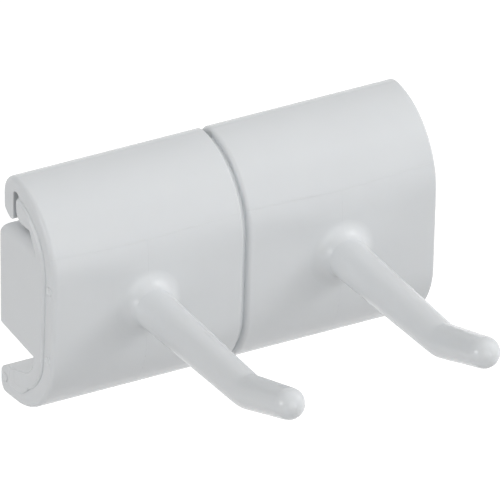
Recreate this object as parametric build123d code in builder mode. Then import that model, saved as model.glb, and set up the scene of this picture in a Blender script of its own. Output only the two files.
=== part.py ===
from build123d import *

import os
from math import acos, cos, degrees, radians, sin, tan

# Double hook: one white plastic moulding that clips onto a wall rail.
# X runs along the rail, the hooks point to -Y, and the origin is the middle of the block's back face.

# Length along the rail, in millimetres as all sizes are
half_room = 41.0           # length of rail that each half takes, with its hook in the middle
groove_width = 1.0         # open line between the two halves
core_proud = 0.55          # how far the core stands out of the shell at both ends
left_rim_radius = 0.9      # soft left rim of each half
right_rim_chamfer = 0.3    # crisp right rim of each half

# Shell, seen from the side: forward from the block's back face, up from its middle
body_depth = 18.85         # back face to the foremost line of the front
crown_radius = 16.0        # quarter-round top
crown_height = 4.6         # height of that round's centre
front_tilt = 3.0           # degrees that the flat front leans back towards the bottom
heel_radius = 13.8         # quarter-round bottom
shell_wall = 3.05          # from the outside of the shell in to the core
crown_back_radius = 4.2    # upper back corner
heel_back_share = 0.548    # lower back corner's radius, as a share of the flat underside before it

# Core inside the shell
core_heel_radius = 9.9
core_lip_end = 4.3         # where the core stops short of the lower lip's tip
core_corner_radius = 1.0
core_rim_chamfer = 0.4     # front edge of the core, where it stands out at both ends

# Back block, which sits in the rail
block_height = 20.75
block_bottom_drop = 2.1    # how much lower its underside is at the front than at the back
block_edge_radius = 2.6    # its upper edges, along the back and at both ends
block_under_radius = 0.5   # its lower back edge

# Upper rail slot: a narrow slot behind a lip, and a pocket with room to tilt the module onto the rail
lip_thickness = 3.9
lip_bottom = 11.85
lip_nose_height = 3.9      # lower stretch of the lip, where its back curves in to the tip
lip_tip_width = 1.1        # what is left of the lip's thickness at the tip
lip_edge_radius = 0.6      # lower front edge of the lip
slot_width = 2.0
slot_top = 17.9
slot_round = 0.8
slot_lead_radius = 2.4     # lead-in from the pocket to the slot
pocket_ceiling = 12.8
pocket_depth = 12.8        # back face to the pocket's front wall
pocket_slope_run = 1.9     # slanted front of the ceiling, measured forward
pocket_slope_drop = 4.0    # and downward
pocket_round = 0.8

# Lower rail slot, between the block and the springy lower lip
lower_slot_depth = 12.25
lower_slot_wall = 3.8      # height of its front wall
lower_slot_fall = 3.2      # how far the lip's inside falls from the front wall to the back face
lower_slot_round = 4.5
lower_lip_overhang = 0.9   # lip's back, behind the block's back face
lower_lip_thickness = 5.58 # lip's height at its back
lower_lip_tip_round = 2.0

# Hook pegs, square to the front
peg_height = -3.9          # where the peg's axis leaves the front
peg_reach = 36.5           # front to the bend, forward
peg_rise = 15.2            # degrees above level, past the bend
peg_tip_run = 14.7         # bend to the centre of the round tip, forward
peg_bend_radius = 7.0
peg_root_radius = 4.0
peg_tip_radius = 3.0
peg_root_flare = 2.8       # hollow round from the front to the peg
peg_flare_sink = 0.2       # how far that round's end lies inside the peg, which tapers
peg_embed = 3.0            # length of the axis inside the wall

# Room that cutting outlines need
past_back = 5.0            # beyond the back face
past_ends = 5.0            # beyond both ends

# Worked out from the sizes above
shell_length = half_room - core_proud - groove_width / 2
half_centre = (groove_width + shell_length) / 2
block_top = block_height / 2
block_bottom = -block_height / 2
slot_front = lip_thickness + slot_width
lip_nose_top = lip_bottom + lip_nose_height
lip_tip_depth = lip_thickness - lip_tip_width
lower_front_top = block_bottom - block_bottom_drop
lower_front_bottom = lower_front_top - lower_slot_wall
lower_fall_slope = lower_slot_fall / lower_slot_depth
lower_lip_top = lower_front_bottom - lower_slot_fall - lower_lip_overhang * lower_fall_slope
heel_bottom = lower_lip_top - lower_lip_thickness
tilt = radians(front_tilt)
front_normal = Vector(cos(tilt), -sin(tilt))
front_up = Vector(sin(tilt), cos(tilt))
crown_centre = Vector(body_depth - crown_radius, crown_height)
flat_start = crown_centre + front_normal * crown_radius
flat_end_height = heel_bottom + heel_radius * (1 - sin(tilt))
flat_end = Vector(flat_start.X - (flat_start.Y - flat_end_height) * tan(tilt), flat_end_height)
heel_bottom_depth = flat_end.X - front_normal.X * heel_radius
heel_back_radius = heel_back_share * (heel_bottom_depth + lower_lip_overhang)
lower_middle = (lower_front_top + lower_front_bottom) / 2
upper_middle = (block_top + lip_bottom) / 2
web_depth = (max(pocket_depth, lower_slot_depth) + flat_end.X - shell_wall) / 2

# Peg axis in the side view
peg_foot = flat_start.X - (flat_start.Y - peg_height) * tan(tilt)
peg_bend_height = peg_height - peg_reach * tan(tilt)
peg_start = (peg_foot - peg_embed, peg_height + peg_embed * tan(tilt))
peg_at_front = Vector(peg_foot, peg_height)
peg_bend = (peg_foot + peg_reach, peg_bend_height)
peg_tip = (peg_foot + peg_reach + peg_tip_run, peg_bend_height + peg_tip_run * tan(radians(peg_rise)))

# Side view as a drawing plane: its x runs forward from the back face, and its y runs up
side = Plane(origin=(0, 0, 0), x_dir=(0, -1, 0), z_dir=(-1, 0, 0))


def front_outline(inset, heel_arc, top_start, bottom_end):
    """Draws crown, flat front and heel, inset from the outside, and gives both ends."""
    crown_arc = crown_radius - inset
    heel_centre = flat_end - front_normal * (inset + heel_arc)
    crown_from = degrees(acos((top_start - crown_centre.X) / crown_arc))
    heel_to = -degrees(acos((bottom_end - heel_centre.X) / heel_arc))
    crown = CenterArc(crown_centre, crown_arc, crown_from, -front_tilt - crown_from)
    heel = CenterArc(heel_centre, heel_arc, -front_tilt, heel_to + front_tilt)
    Line(crown @ 1, heel @ 0)
    return crown @ 0, heel @ 1


def round_corner(sketch, corner, radius):
    """Rounds the corner of a sketch that lies nearest to a point."""
    fillet(sketch.vertices().sort_by_distance(corner)[0], radius)


def front_edge(part, end):
    """Finds the straight front edge of the end face that an axis points to."""
    end_edges = part.faces().sort_by(end)[-1].edges()
    return end_edges.filter_by(GeomType.LINE).sort_by(Axis.Y)[0]


# One half: the shell with its two lips, open at the back where the block goes, and its peg
with BuildPart() as half:
    with BuildSketch(side) as shell_side:
        with BuildLine():
            shell_top, shell_bottom = front_outline(0, heel_radius, 0, heel_bottom_depth)
            Polyline(
                shell_bottom,
                (-lower_lip_overhang, heel_bottom),
                (-lower_lip_overhang, lower_middle),
                (web_depth, lower_middle),
                (web_depth, upper_middle),
                (0, upper_middle),
                shell_top,
            )
        make_face()
        round_corner(shell_side, shell_top, crown_back_radius)
    extrude(amount=shell_length / 2, both=True)
    fillet(front_edge(half, Axis.X.reverse()), left_rim_radius)
    chamfer(front_edge(half, Axis.X), right_rim_chamfer)
    with BuildLine(side) as peg_axis:
        FilletPolyline(peg_start, peg_bend, peg_tip, radius=peg_bend_radius)
    peg_line = peg_axis.line.wires()[0]
    root_plane = Plane(origin=peg_line @ 0, z_dir=peg_line % 0)
    tip_plane = Plane(origin=peg_line @ 1, z_dir=peg_line % 1)
    with BuildSketch(root_plane) as root_section:
        Circle(peg_root_radius)
    with BuildSketch(tip_plane) as tip_section:
        Circle(peg_tip_radius)
    sweep(sections=[root_section.sketch, tip_section.sketch], path=peg_line, multisection=True)
    with Locations(tip_plane):
        Sphere(peg_tip_radius)
    with BuildSketch(side) as flare_side:
        with BuildLine():
            flare_rim = peg_at_front + front_up * (peg_root_radius + peg_root_flare)
            flare_top = peg_at_front + front_normal * peg_root_flare
            flare_end = flare_top + front_up * (peg_root_radius - peg_flare_sink)
            flare_embed = front_normal * (peg_embed / 2)
            Polyline(
                flare_end,
                flare_top,
                peg_at_front - flare_embed,
                flare_rim - flare_embed,
                flare_rim,
            )
            TangentArc(flare_rim, flare_end, tangent=-front_up)
        make_face()
    revolve(flare_side.sketch, axis=Axis(root_plane.origin, root_plane.z_dir))

# Block on the back, which the rail holds: its upper edges are well rounded
with BuildPart() as block:
    with BuildSketch(side):
        with BuildLine():
            Polyline(
                (0, block_bottom),
                (web_depth, block_bottom - block_bottom_drop * web_depth / lower_slot_depth),
                (web_depth, block_top),
                (0, block_top),
                close=True,
            )
        make_face()
    extrude(amount=half_room, both=True)
    upper_edges = block.faces().sort_by(Axis.Z)[-1].edges()
    fillet(upper_edges.sort_by(Axis.Y)[1:], block_edge_radius)
    fillet(block.edges().filter_by(Axis.X).group_by(Axis.Z)[1], block_under_radius)

# Whole moulding: both halves on one core, which runs through the groove and carries the block
with BuildPart() as double_hook:
    with Locations((-half_centre, 0, 0), (half_centre, 0, 0)):
        add(half.part)
    with BuildSketch(side) as core_side:
        with BuildLine():
            core_top, core_bottom = front_outline(shell_wall, core_heel_radius, slot_front, core_lip_end)
            Polyline(
                core_bottom,
                (core_lip_end, 0),
                (slot_front, 0),
                core_top,
            )
        make_face()
        round_corner(core_side, core_bottom, core_corner_radius)
    extrude(amount=half_room, both=True)
    chamfer(front_edge(double_hook, Axis.X), core_rim_chamfer)
    chamfer(front_edge(double_hook, Axis.X.reverse()), core_rim_chamfer)

    # Upper rail slot, cut together with the lower end of its lip
    with BuildSketch(side) as upper_slot:
        with BuildLine():
            Polyline(
                (-past_back, 0),
                (pocket_depth, 0),
                (pocket_depth, pocket_ceiling - pocket_slope_drop),
                (pocket_depth - pocket_slope_run, pocket_ceiling),
                (slot_front, pocket_ceiling),
                (slot_front, slot_top),
                (lip_thickness, slot_top),
                (lip_thickness, lip_bottom),
                (lip_tip_depth, lip_bottom),
            )
            TangentArc((0, lip_nose_top), (lip_tip_depth, lip_bottom), tangent=(0, -1))
            Polyline(
                (0, lip_nose_top),
                (-past_back, lip_nose_top),
                (-past_back, 0),
            )
        make_face()
        round_corner(upper_slot, (pocket_depth - pocket_slope_run, pocket_ceiling), pocket_round)
        round_corner(upper_slot, (slot_front, pocket_ceiling), slot_lead_radius)
        round_corner(upper_slot, (slot_front, slot_top), slot_round)
        round_corner(upper_slot, (lip_thickness, slot_top), slot_round)
        round_corner(upper_slot, (lip_thickness, lip_bottom), lip_edge_radius)
    extrude(amount=half_room + past_ends, both=True, mode=Mode.SUBTRACT)

    # Lower rail slot, cut together with the outside of its lip's back
    with BuildSketch(side) as lower_slot:
        with BuildLine():
            Polyline(
                (-past_back, 0),
                (lower_slot_depth, 0),
                (lower_slot_depth, lower_front_bottom),
                (-lower_lip_overhang, lower_lip_top),
                (-lower_lip_overhang, heel_bottom),
                (heel_bottom_depth, heel_bottom),
                (heel_bottom_depth, heel_bottom - past_back),
                (-past_back, heel_bottom - past_back),
                close=True,
            )
        make_face()
        round_corner(lower_slot, (lower_slot_depth, lower_front_bottom), lower_slot_round)
        round_corner(lower_slot, (-lower_lip_overhang, lower_lip_top), lower_lip_tip_round)
        round_corner(lower_slot, (-lower_lip_overhang, heel_bottom), heel_back_radius)
    extrude(amount=half_room + past_ends, both=True, mode=Mode.SUBTRACT)

    add(block.part)

double_hook.part.label = "double_hook"
os.makedirs("parts", exist_ok=True)
export_step(double_hook.part, "parts/double_hook.step")
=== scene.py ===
import math

import bmesh
import bpy
from mathutils import Matrix, Vector


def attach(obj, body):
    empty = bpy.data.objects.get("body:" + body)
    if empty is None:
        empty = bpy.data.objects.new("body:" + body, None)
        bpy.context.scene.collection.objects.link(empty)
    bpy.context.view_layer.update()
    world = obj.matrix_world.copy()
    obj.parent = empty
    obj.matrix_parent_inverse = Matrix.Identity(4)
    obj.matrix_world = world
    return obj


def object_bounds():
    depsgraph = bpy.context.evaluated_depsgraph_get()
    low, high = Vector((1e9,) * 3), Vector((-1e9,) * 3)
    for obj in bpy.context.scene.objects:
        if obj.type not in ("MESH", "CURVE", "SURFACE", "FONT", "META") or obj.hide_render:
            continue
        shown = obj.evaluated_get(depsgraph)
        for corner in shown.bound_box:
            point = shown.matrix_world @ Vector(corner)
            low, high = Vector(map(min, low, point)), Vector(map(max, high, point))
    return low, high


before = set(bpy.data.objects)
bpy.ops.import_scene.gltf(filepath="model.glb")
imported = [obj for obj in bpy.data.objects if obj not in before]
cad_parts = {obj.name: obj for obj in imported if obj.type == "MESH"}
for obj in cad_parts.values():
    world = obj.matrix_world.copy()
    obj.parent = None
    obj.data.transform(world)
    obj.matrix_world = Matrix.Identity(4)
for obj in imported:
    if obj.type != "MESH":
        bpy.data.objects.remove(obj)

cad_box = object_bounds()


# Moulding: both shell halves, the core, the back block and the pegs in one piece of white polypropylene.
# It is injection moulded, so its skin is satin with a very fine grain, faint clouds where the plastic
# flowed, a few dark specks in the plastic, and a little light that soaks in and softens the shadows.
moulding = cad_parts["double_hook"]
plastic_white = (0.812, 0.832, 0.846, 1.0)
plastic_cloud = (0.786, 0.806, 0.824, 1.0)
speck_grey = (0.33, 0.33, 0.32, 1.0)
plastic_ior = 1.49
flow_clouding = 0.55
cloud_scale = 70.0
cloud_contrast = (0.35, 0.75)
speck_strength = 0.75
speck_scale = 110.0
speck_core = 0.009
speck_edge = 0.02
speck_rarity = (0.62, 0.7)
soak_share = 0.35
soak_depth = 0.0006
soak_tint = (1.0, 0.97, 0.92)
edge_softness = 0.0002
edge_samples = 6
grain_depth = 0.00003
grain_strength = 0.2
grain_scale = 5200.0
grain_share = 0.4
wave_scale = 900.0
satin_scale = 160.0
satin_contrast = (0.3, 0.7)
satin_low = 0.252
satin_high = 0.27
worn_from = -0.050
worn_to = -0.064
worn_gloss = 0.09

skin_group = bpy.data.node_groups.new("moulded_skin", "ShaderNodeTree")
skin_group.interface.new_socket("Clouding", in_out="INPUT", socket_type="NodeSocketFloat")
skin_group.interface.new_socket("Specks", in_out="INPUT", socket_type="NodeSocketFloat")
skin_group.interface.new_socket("Colour", in_out="OUTPUT", socket_type="NodeSocketColor")
skin_group.interface.new_socket("Roughness", in_out="OUTPUT", socket_type="NodeSocketFloat")
skin_group.interface.new_socket("Grain", in_out="OUTPUT", socket_type="NodeSocketFloat")
skin_nodes = skin_group.nodes
skin_links = skin_group.links
skin_given = skin_nodes.new("NodeGroupInput")
skin_result = skin_nodes.new("NodeGroupOutput")
skin_place = skin_nodes.new("ShaderNodeTexCoord")


def skin_noise(scale, detail, roughness=0.5):
    """Adds a noise texture that is fixed to the part, at so many features a metre."""
    noise = skin_nodes.new("ShaderNodeTexNoise")
    noise.inputs["Scale"].default_value = scale
    noise.inputs["Detail"].default_value = detail
    noise.inputs["Roughness"].default_value = roughness
    skin_links.new(skin_place.outputs["Object"], noise.inputs["Vector"])
    return noise.outputs["Fac"]


def skin_range(source, from_low, from_high, to_low, to_high):
    """Stretches a value from one range to another, and keeps it inside the second."""
    stretch = skin_nodes.new("ShaderNodeMapRange")
    stretch.inputs["From Min"].default_value = from_low
    stretch.inputs["From Max"].default_value = from_high
    stretch.inputs["To Min"].default_value = to_low
    stretch.inputs["To Max"].default_value = to_high
    skin_links.new(source, stretch.inputs["Value"])
    return stretch.outputs["Result"]


def skin_math(operation, first, second):
    """Combines two values, the second of which may be a plain number."""
    step = skin_nodes.new("ShaderNodeMath")
    step.operation = operation
    skin_links.new(first, step.inputs[0])
    if isinstance(second, float):
        step.inputs[1].default_value = second
    else:
        skin_links.new(second, step.inputs[1])
    return step.outputs["Value"]


def skin_colour_mix(share, first, second):
    """Mixes a colour, plain or from another node, with a plain colour."""
    mix = skin_nodes.new("ShaderNodeMix")
    mix.data_type = "RGBA"
    skin_links.new(share, mix.inputs["Factor"])
    first_colour, second_colour = [i for i in mix.inputs if i.type == "RGBA"]
    second_colour.default_value = second
    if isinstance(first, tuple):
        first_colour.default_value = first
    else:
        skin_links.new(first, first_colour)
    return [o for o in mix.outputs if o.type == "RGBA"][0]


# Clouds of flow in the colour
clouds = skin_range(skin_noise(cloud_scale, 3.0), *cloud_contrast, 0.0, 1.0)
cloud_share = skin_math("MULTIPLY", clouds, skin_given.outputs["Clouding"])
clouded_white = skin_colour_mix(cloud_share, plastic_white, plastic_cloud)

# Specks: a few of the cells have a dark grain in the middle
speck_cells = skin_nodes.new("ShaderNodeTexVoronoi")
speck_cells.inputs["Scale"].default_value = speck_scale
skin_links.new(skin_place.outputs["Object"], speck_cells.inputs["Vector"])
speck_grain = skin_range(speck_cells.outputs["Distance"], speck_core, speck_edge, 1.0, 0.0)
speck_shade = skin_nodes.new("ShaderNodeSeparateColor")
skin_links.new(speck_cells.outputs["Color"], speck_shade.inputs["Color"])
speck_here = skin_range(speck_shade.outputs["Red"], *speck_rarity, 0.0, 1.0)
speck_spots = skin_math("MULTIPLY", speck_grain, speck_here)
speck_share = skin_math("MULTIPLY", speck_spots, skin_given.outputs["Specks"])
skin_links.new(skin_colour_mix(speck_share, clouded_white, speck_grey), skin_result.inputs["Colour"])

# Satin: the gloss changes a little from patch to patch, and what hangs on the tips wears them smoother
skin_axes = skin_nodes.new("ShaderNodeSeparateXYZ")
skin_links.new(skin_place.outputs["Object"], skin_axes.inputs["Vector"])
tip_wear = skin_range(skin_axes.outputs["Y"], worn_from, worn_to, 0.0, worn_gloss)
satin = skin_range(skin_noise(satin_scale, 4.0, 0.6), *satin_contrast, satin_low, satin_high)
skin_links.new(skin_math("SUBTRACT", satin, tip_wear), skin_result.inputs["Roughness"])

# Grain: a fine spark-eroded texture over a slight waviness
fine_grain = skin_math("MULTIPLY", skin_noise(grain_scale, 3.0, 0.65), grain_share)
skin_links.new(skin_math("ADD", fine_grain, skin_noise(wave_scale, 2.0)), skin_result.inputs["Grain"])


def white_plastic(name, specks, softness, soak):
    """Makes a material of the white plastic, with edges that the mould leaves a little round."""
    material = bpy.data.materials.new(name)
    material.use_nodes = True
    nodes = material.node_tree.nodes
    links = material.node_tree.links
    shader = nodes["Principled BSDF"]
    shader.inputs["IOR"].default_value = plastic_ior
    shader.inputs["Subsurface Weight"].default_value = soak
    shader.inputs["Subsurface Radius"].default_value = soak_tint
    shader.inputs["Subsurface Scale"].default_value = soak_depth
    skin = nodes.new("ShaderNodeGroup")
    skin.node_tree = skin_group
    skin.inputs["Clouding"].default_value = flow_clouding
    skin.inputs["Specks"].default_value = specks
    links.new(skin.outputs["Colour"], shader.inputs["Base Color"])
    links.new(skin.outputs["Roughness"], shader.inputs["Roughness"])
    bump = nodes.new("ShaderNodeBump")
    bump.inputs["Strength"].default_value = grain_strength
    bump.inputs["Distance"].default_value = grain_depth
    links.new(skin.outputs["Grain"], bump.inputs["Height"])
    links.new(bump.outputs["Normal"], shader.inputs["Normal"])
    if softness:
        soft_edges = nodes.new("ShaderNodeBevel")
        soft_edges.samples = edge_samples
        soft_edges.inputs["Radius"].default_value = softness
        links.new(soft_edges.outputs["Normal"], bump.inputs["Normal"])
    return material


plastic = white_plastic("white_moulded_plastic", speck_strength, edge_softness, soak_share)
moulding.data.materials.clear()
moulding.data.materials.append(plastic)


# Groove floor: the web of plastic between the two halves, a little deeper than their rims are round.
# It is moulded with them, follows the crown, the front and the heel, and closes the groove from below.
crown_middle = Vector((0.00285, 0.0046))
crown_radius = 0.016
heel_middle = Vector((0.0042098, -0.0114901))
heel_radius = 0.0138
heel_end = math.radians(-88.0)
front_tilt = math.radians(3.0)
groove_depth = 0.00115
groove_half_width = 0.000505
web_depth = 0.0042
web_back = math.radians(79.0)
web_steps = 24
web_corners = (
    (-groove_half_width, groove_depth),
    (groove_half_width, groove_depth),
    (groove_half_width, web_depth),
    (-groove_half_width, web_depth),
)
smooth_below = math.radians(40.0)
thin_plastic = white_plastic("white_plastic_thin", 0.0, 0.0, 0.0)


def spread(first, last, steps):
    """Gives numbers from the first to the last in equal steps."""
    return [first + (last - first) * i / steps for i in range(steps + 1)]


def shell_round(middle, radius, angle):
    """Gives a point of a round part of the shell's side view, and the direction out of it."""
    out = Vector((math.cos(angle), math.sin(angle)))
    return middle + out * radius, out


def at_side(x, forward_up):
    """Puts a point or a direction of the side view at a place along the rail."""
    return Vector((x, -forward_up.x, forward_up.y))


def join_rings(mesh, rings):
    """Closes a row of rings of points, with faces between them and over both ends."""
    for ring, following in zip(rings, rings[1:]):
        for k in range(len(ring)):
            other = (k + 1) % len(ring)
            mesh.faces.new((ring[k], ring[other], following[other], following[k]))
    mesh.faces.new(rings[0])
    mesh.faces.new(rings[-1])


def moulded_piece(name, mesh):
    """Makes a piece of the white plastic that belongs to the moulding."""
    bmesh.ops.recalc_face_normals(mesh, faces=mesh.faces)
    data = bpy.data.meshes.new(name)
    mesh.to_mesh(data)
    mesh.free()
    data.shade_smooth()
    data.set_sharp_from_angle(angle=smooth_below)
    data.materials.append(thin_plastic)
    piece = bpy.data.objects.new(name, data)
    bpy.context.scene.collection.objects.link(piece)
    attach(piece, "root")


web_stations = []
for angle in spread(web_back, -front_tilt, web_steps):
    web_stations.append((crown_middle, crown_radius, angle))
for angle in spread(-front_tilt, heel_end, web_steps):
    web_stations.append((heel_middle, heel_radius, angle))
web = bmesh.new()
web_rings = []
for middle, radius, angle in web_stations:
    ring = []
    for x, depth in web_corners:
        point = shell_round(middle, radius - depth, angle)[0]
        ring.append(web.verts.new(at_side(x, point)))
    web_rings.append(ring)
join_rings(web, web_rings)
moulded_piece("groove_floor", web)


# Core toes: both ends of the core run on over the lower lips, round the inner end of the lower slot.
# They are moulded in one with the core, stand as proud of the shell as it does, and have a soft edge.
toe_foot = 0.0404
toe_face = 0.04098
toe_edge = 0.00035
toe_rim = 0.00012
toe_merge = 0.000001
toe_heel = (Vector((0.00503, -0.01711)), 0.0055)
toe_tip = (Vector((0.00435, -0.02095)), 0.0016)
toe_stop = Vector((0.00295, -0.01873))
slot_bend = (Vector((0.00775, -0.0128)), 0.00452)
forward_way = Vector((1.0, 0.0))


def toe_arc(arc, first, last, steps, soft):
    """Gives points of an arc of the toe's outline, each with its way in where the edge is soft."""
    middle, radius = arc
    points = []
    for degrees_round in spread(first, last, steps):
        point, out = shell_round(middle, radius, math.radians(degrees_round))
        points.append((point, -out * soft))
    return points


toe_outline = toe_arc(toe_heel, first=-30.0, last=-100.0, steps=18, soft=1.0)
toe_outline += toe_arc(toe_tip, first=-105.0, last=-180.0, steps=14, soft=1.0)
toe_outline.append((toe_stop, forward_way))
toe_outline += toe_arc(slot_bend, first=-75.36, last=-45.0, steps=8, soft=0.0)

# Levels of the toe from its foot to its flat face, with how far each is set in
toe_levels = [(0.0, toe_foot)]
for degrees_round in (0, 30, 60, 90):
    turn = math.radians(degrees_round)
    toe_levels.append((toe_edge * (1 - math.cos(turn)), toe_face - toe_edge * (1 - math.sin(turn))))
toe_levels.append((toe_edge + toe_rim, toe_face))
for side, way in (("left", -1), ("right", 1)):
    toe = bmesh.new()
    toe_rings = []
    for inset, x in toe_levels:
        places = [at_side(way * x, point + inward * inset) for point, inward in toe_outline]
        toe_rings.append([toe.verts.new(place) for place in places])
    join_rings(toe, toe_rings)
    bmesh.ops.remove_doubles(toe, verts=toe.verts, dist=toe_merge)
    moulded_piece("core_toe_" + side, toe)


# Mould lines: fine raised lines of the same plastic, where the parts of the mould met.
# One crosses each half's crown in a shallow V and ends in a small nib of flash on the soft left rim.
# Another goes down the front in the plane of the hook, above and below the peg.
half_middles = {"left": -0.020475, "right": 0.020475}
half_length = 0.03995
soft_rim = 0.0009
crisp_rim = 0.0003
front_normal = Vector((math.cos(front_tilt), -math.sin(front_tilt)))
front_down = Vector((-math.sin(front_tilt), -math.cos(front_tilt)))
front_top = crown_middle + front_normal * crown_radius
leftward = Vector((-1, 0, 0))
line_width = 0.00015
line_height = 0.00002
front_line_height = 0.000014
line_sink = 0.00006
line_rounds = 6
line_end_height = 0.0096
line_low_height = 0.0089
nib_height = 0.00011
nib_reach = 78
nib_turns = (70, 55, 40, 25, 10)
flare_top_height = 0.0028
flare_bottom_height = -0.0107
crossing_steps = 24
front_steps = 8
heel_steps = 14


def raised_line(mesh, stations):
    """Adds a low rounded ridge along stations, each a point, the way out of the skin, and a height."""
    rings = []
    for i, (point, out, height) in enumerate(stations):
        before = stations[max(i - 1, 0)][0]
        after = stations[min(i + 1, len(stations) - 1)][0]
        half_across = (after - before).cross(out).normalized() * (line_width / 2)
        places = [point - half_across - out * line_sink]
        for turn in spread(0, math.pi, line_rounds):
            places.append(point - half_across * math.cos(turn) + out * (math.sin(turn) * height))
        places.append(point + half_across - out * line_sink)
        rings.append([mesh.verts.new(place) for place in places])
    join_rings(mesh, rings)


def crown_angle(up):
    """Gives the angle at which the crown reaches a height."""
    return math.asin((up - crown_middle.y) / crown_radius)


def round_station(x, middle, radius, angle, height):
    """Gives a station of a line on a round part of the shell."""
    point, out = shell_round(middle, radius, angle)
    return at_side(x, point), at_side(0, out), height


def front_station(x, up):
    """Gives a station of a line on the flat front."""
    run = (front_top.y - up) / math.cos(front_tilt)
    return at_side(x, front_top + front_down * run), at_side(0, front_normal), front_line_height


for side, middle in half_middles.items():
    lines = bmesh.new()
    line_left = middle - half_length / 2 + soft_rim
    line_right = middle + half_length / 2 - crisp_rim

    # Across the crown, and over the soft left rim with a nib of flash
    rim_core, rim_way = shell_round(crown_middle, crown_radius - soft_rim, crown_angle(line_end_height))
    rim_middle = at_side(line_left, rim_core)
    crossing = []
    for degrees_round in nib_turns:
        turn = math.radians(degrees_round)
        out = at_side(0, rim_way) * math.cos(turn) + leftward * math.sin(turn)
        height = nib_height * math.sin(math.pi * (nib_reach - degrees_round) / nib_reach)
        crossing.append((rim_middle + out * soft_rim, out, height))
    for x in spread(line_left, line_right, crossing_steps):
        rise = abs(x - middle) / (half_length / 2)
        angle = crown_angle(line_low_height + (line_end_height - line_low_height) * rise)
        crossing.append(round_station(x, crown_middle, crown_radius, angle, line_height))
    raised_line(lines, crossing)

    # Down the front to the peg's flare
    upper = []
    for angle in spread(crown_angle(line_low_height), -front_tilt, front_steps):
        upper.append(round_station(middle, crown_middle, crown_radius, angle, front_line_height))
    upper.append(front_station(middle, flare_top_height))
    raised_line(lines, upper)

    # From under the flare round the heel
    lower = [front_station(middle, flare_bottom_height)]
    for angle in spread(-front_tilt, heel_end, heel_steps):
        lower.append(round_station(middle, heel_middle, heel_radius, angle, front_line_height))
    raised_line(lines, lower)

    moulded_piece("mould_lines_" + side, lines)


# Pin marks: round marks where the ejector pins pushed the moulding out of its mould.
# Each is a shallow dish with a fine raised ring, on the flat end of the left half and on its lower lip.
# Each has a place forward and up and a radius, and the profile goes from its middle to its rim.
end_face = -0.04045
pin_marks = (
    (0.0171, 0.0029, 0.00088),
    (0.0164, -0.0115, 0.00080),
    (0.0004, -0.0219, 0.00085),
)
pin_profile = (
    (0.35, 0.00001),
    (0.7, 0.00002),
    (0.84, 0.00006),
    (0.93, 0.00013),
    (1.0, 0.00012),
    (1.06, -0.00006),
)
pin_sides = 40
for i, (forward, up, radius) in enumerate(pin_marks):
    dish = bmesh.new()
    centre = Vector((end_face, -forward, up))
    hub = dish.verts.new(centre + leftward * pin_profile[0][1])
    rings = []
    for share, height in pin_profile:
        ring = []
        for k in range(pin_sides):
            turn = math.tau * k / pin_sides
            reach = Vector((0, math.cos(turn), math.sin(turn))) * (radius * share)
            ring.append(dish.verts.new(centre + reach + leftward * height))
        rings.append(ring)
    for k in range(pin_sides):
        other = (k + 1) % pin_sides
        dish.faces.new((hub, rings[0][k], rings[0][other]))
        for ring, following in zip(rings, rings[1:]):
            dish.faces.new((ring[k], following[k], following[other], ring[other]))
    dish.faces.new(rings[-1])
    moulded_piece("pin_mark_%d" % (i + 1), dish)


# Floor: a plain pale table well below the part, which hangs on a wall rail in use.
# It is matte, and looks white to the camera, with the part's soft shadow on it.
floor_drop = 0.09
floor_size = 8.0
floor_pale = (0.5, 0.5, 0.5, 1.0)
floor_roughness = 0.9
floor_lift = 0.75
bpy.ops.mesh.primitive_plane_add(size=floor_size, location=(0, 0, cad_box[0].z - floor_drop))
floor = bpy.context.object
floor.name = "floor"
pale = bpy.data.materials.new("pale_floor")
pale.use_nodes = True
pale_nodes = pale.node_tree.nodes
pale_links = pale.node_tree.links
matte = pale_nodes["Principled BSDF"]
matte.inputs["Base Color"].default_value = floor_pale
matte.inputs["Roughness"].default_value = floor_roughness


def seen_directly(nodes, links):
    """Gives 1 for rays from the camera, in a mirror or through glass, and 0 for light on the part."""
    path = nodes.new("ShaderNodeLightPath")
    seen = path.outputs["Is Camera Ray"]
    for kind in ("Is Glossy Ray", "Is Transmission Ray"):
        either = nodes.new("ShaderNodeMath")
        either.operation = "MAXIMUM"
        links.new(seen, either.inputs[0])
        links.new(path.outputs[kind], either.inputs[1])
        seen = either.outputs["Value"]
    return seen


floor_glow = pale_nodes.new("ShaderNodeMath")
floor_glow.operation = "MULTIPLY"
floor_glow.inputs[1].default_value = floor_lift
pale_links.new(seen_directly(pale_nodes, pale_links), floor_glow.inputs[0])
matte.inputs["Emission Color"].default_value = (1, 1, 1, 1)
pale_links.new(floor_glow.outputs["Value"], matte.inputs["Emission Strength"])

# From below it is clear, so that it doesn't hide the part's underside
clear = pale_nodes.new("ShaderNodeBsdfTransparent")
floor_side = pale_nodes.new("ShaderNodeNewGeometry")
floor_skin = pale_nodes.new("ShaderNodeMixShader")
pale_links.new(floor_side.outputs["Backfacing"], floor_skin.inputs["Fac"])
pale_links.new(matte.outputs["BSDF"], floor_skin.inputs[1])
pale_links.new(clear.outputs["BSDF"], floor_skin.inputs[2])
pale_links.new(floor_skin.outputs["Shader"], pale_nodes["Material Output"].inputs["Surface"])
floor.data.materials.append(pale)


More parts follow.
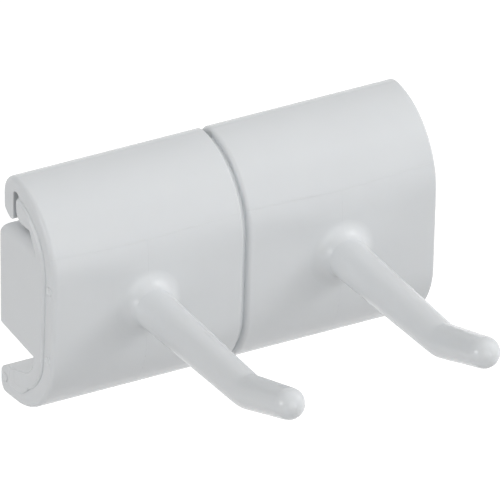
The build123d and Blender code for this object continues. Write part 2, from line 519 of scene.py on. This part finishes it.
# Camera: stands far off, to the left of the hooks and above them, as the photograph was taken.
# The photograph is 500 pixels wide, and shows this many pixels a metre at the front of the part.
photo_pixels = 500
photo_scale = 5467.85
view_azimuth = math.radians(30.0)
view_elevation = math.radians(26.62)
camera_distance = 3.846
camera_reach = 100.0
sensor_width = 36.0
front_point = Vector((-0.0005, -0.01885, 0.0046))
aim_right_pixels = 5.976
aim_down_pixels = 11.851
towards = Vector((
    -math.sin(view_azimuth) * math.cos(view_elevation),
    -math.cos(view_azimuth) * math.cos(view_elevation),
    math.sin(view_elevation),
))
right = Vector((math.cos(view_azimuth), -math.sin(view_azimuth), 0))
up = towards.cross(right)
aim = front_point + right * (aim_right_pixels / photo_scale) - up * (aim_down_pixels / photo_scale)
camera_data = bpy.data.cameras.new("camera")
camera_data.sensor_width = sensor_width
camera_data.lens = sensor_width * photo_scale * camera_distance / photo_pixels
camera_data.clip_end = camera_reach
camera = bpy.data.objects.new("camera", camera_data)
turned = Matrix((right, up, towards)).transposed().to_4x4()
camera.matrix_world = Matrix.Translation(aim + towards * camera_distance) @ turned
bpy.context.scene.collection.objects.link(camera)
bpy.context.scene.camera = camera


# Light: soft boxes in a white room, wide ones over the right shoulder, in front, overhead and behind,
# and two smaller ones at the sides that put a soft spark on the tips of the pegs.
# Each has a direction from the part, a width in metres and a level.
lamp_distance = 1.2
lamp_target = Vector((0, -0.015, -0.002))
room_light = 0.28
lamps = {
    "shoulder_box": ((0.782, -0.290, 0.552), 1.8, 0.25),
    "front_box": ((0.0, -1.0, 0.1), 1.2, 0.40),
    "overhead_box": ((0.0, 0.0, 1.0), 1.8, 0.10),
    "left_box": ((-0.957, -0.044, 0.282), 0.5, 0.265),
    "right_box": ((0.782, -0.290, 0.552), 0.5, 0.31),
    "back_box": ((0.1, 1.0, 0.0), 1.2, 0.1),
}
for name, (direction, size, level) in lamps.items():
    lamp_data = bpy.data.lights.new(name, "AREA")
    lamp_data.size = size
    lamp_data.energy = level * (math.pi * lamp_distance) ** 2
    lamp = bpy.data.objects.new(name, lamp_data)
    facing = Vector(direction).normalized()
    turn = facing.to_track_quat("Z", "Y").to_matrix().to_4x4()
    lamp.matrix_world = Matrix.Translation(lamp_target + facing * lamp_distance) @ turn
    lamp.visible_camera = False
    bpy.context.scene.collection.objects.link(lamp)

world = bpy.data.worlds.new("white_room")
bpy.context.scene.world = world
world.use_nodes = True
world_nodes = world.node_tree.nodes
world_links = world.node_tree.links
room = world_nodes["Background"]
room.inputs["Color"].default_value = (1, 1, 1, 1)
room_level = world_nodes.new("ShaderNodeMapRange")
room_level.inputs["To Min"].default_value = room_light
room_level.inputs["To Max"].default_value = 1.0
world_links.new(seen_directly(world_nodes, world_links), room_level.inputs["Value"])
world_links.new(room_level.outputs["Result"], room.inputs["Strength"])
bpy.context.scene.view_settings.view_transform = "Standard"
